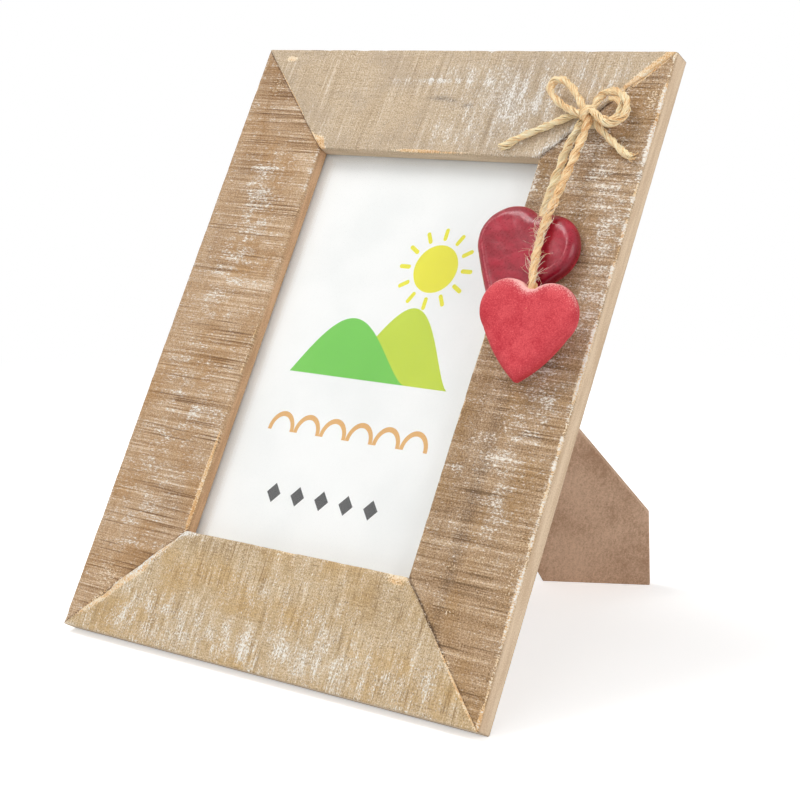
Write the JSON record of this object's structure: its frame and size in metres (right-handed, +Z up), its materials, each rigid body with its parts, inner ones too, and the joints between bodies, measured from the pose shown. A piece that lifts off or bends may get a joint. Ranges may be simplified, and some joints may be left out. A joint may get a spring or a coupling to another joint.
{
  "type": "table photo frame",
  "caption": "Portrait table photo frame of mitred reclaimed timber, propped on a fibreboard strut, with a twine bow and hanging painted wooden hearts.",
  "frame": {"origin": "on the table, under the middle of the standing frame's bounding box", "axes": "+Z up, the picture faces -Y and leans back 30 degrees, +X to the viewer's right"},
  "size_m": [0.178, 0.1716, 0.2021],
  "materials": {
    "timber": "rough sawn reclaimed look, grey-brown, flecked with old white paint",
    "steel": "zinc-plated steel",
    "glass": "clear float glass",
    "print_paper": "smooth white card with a small printed design",
    "fibreboard": "smooth bare medium-density fibreboard",
    "crimson_lacquer": "wood under glossy dark crimson lacquer",
    "coral_paint": "wood under matt coral red paint, worn at the edges",
    "twine": "twisted natural jute with loose fibres",
    "glue": "clear-drying hot-melt glue"
  },
  "bodies": {
    "frame": {"top_rail": "timber", "right_stile": "timber", "bottom_rail": "timber", "left_stile": "timber", "v_nail_top_left_1": "steel", "v_nail_top_left_2": "steel", "v_nail_top_right_1": "steel", "v_nail_top_right_2": "steel", "v_nail_bottom_right_1": "steel", "v_nail_bottom_right_2": "steel", "v_nail_bottom_left_1": "steel", "v_nail_bottom_left_2": "steel", "turn_button_screw_left": "steel", "turn_button_screw_right": "steel", "turn_button_screw_top": "steel", "turn_button_screw_bottom": "steel", "glass_pane": "glass", "photo_insert": "print_paper", "back_board": "fibreboard", "hinge_board_leaf": "steel", "hinge_pin": "steel", "board_rivet_left": "steel", "board_rivet_right": "steel", "bow_tails": "twine", "bow_loop_left": "twine", "bow_loop_right": "twine", "bow_knot": "twine", "bow_glue_pad": "glue"},
    "strut": {"strut": "fibreboard", "hinge_strut_leaf": "steel", "strut_rivet_left": "steel", "strut_rivet_right": "steel"},
    "button_left": {"turn_button_left": "steel"},
    "button_right": {"turn_button_right": "steel"},
    "button_top": {"turn_button_top": "steel"},
    "button_bottom": {"turn_button_bottom": "steel"},
    "hanging_heart_back": {"heart_back": "crimson_lacquer", "heart_cord_back": "twine"},
    "hanging_heart_front": {"heart_front": "coral_paint", "heart_cord_front": "twine"}
  },
  "joints": [
    {"name": "strut_fold", "type": "hinge", "parent": "frame", "child": "strut", "pos_m": [-0.03, 0.00947, 0.14554], "axis": [0.788, 0.3078, 0.5332], "range_deg": [-48.5, 0]},
    {"name": "turn_button_left_swivel", "type": "hinge", "parent": "frame", "child": "button_left", "pos_m": [-0.0574, -0.02858, 0.10284], "axis": [0, 0.866, -0.5], "continuous": true},
    {"name": "turn_button_right_swivel", "type": "hinge", "parent": "frame", "child": "button_right", "pos_m": [0.0574, -0.01858, 0.12016], "axis": [0, 0.866, -0.5], "continuous": true},
    {"name": "turn_button_top_swivel", "type": "hinge", "parent": "frame", "child": "button_top", "pos_m": [0.01, 0.01312, 0.17507], "axis": [0, 0.866, -0.5], "continuous": true},
    {"name": "turn_button_bottom_swivel", "type": "hinge", "parent": "frame", "child": "button_bottom", "pos_m": [-0.006, -0.07028, 0.03062], "axis": [0, 0.866, -0.5], "continuous": true},
    {"name": "heart_back_swing", "type": "hinge", "parent": "frame", "child": "hanging_heart_back", "pos_m": [0.0651, 0.01144, 0.18216], "axis": [0, -0.866, 0.5], "range_deg": [-15, 15]},
    {"name": "heart_front_swing", "type": "hinge", "parent": "frame", "child": "hanging_heart_front", "pos_m": [0.0651, 0.01144, 0.18216], "axis": [0, -0.866, 0.5], "range_deg": [-15, 15]}
  ]
}
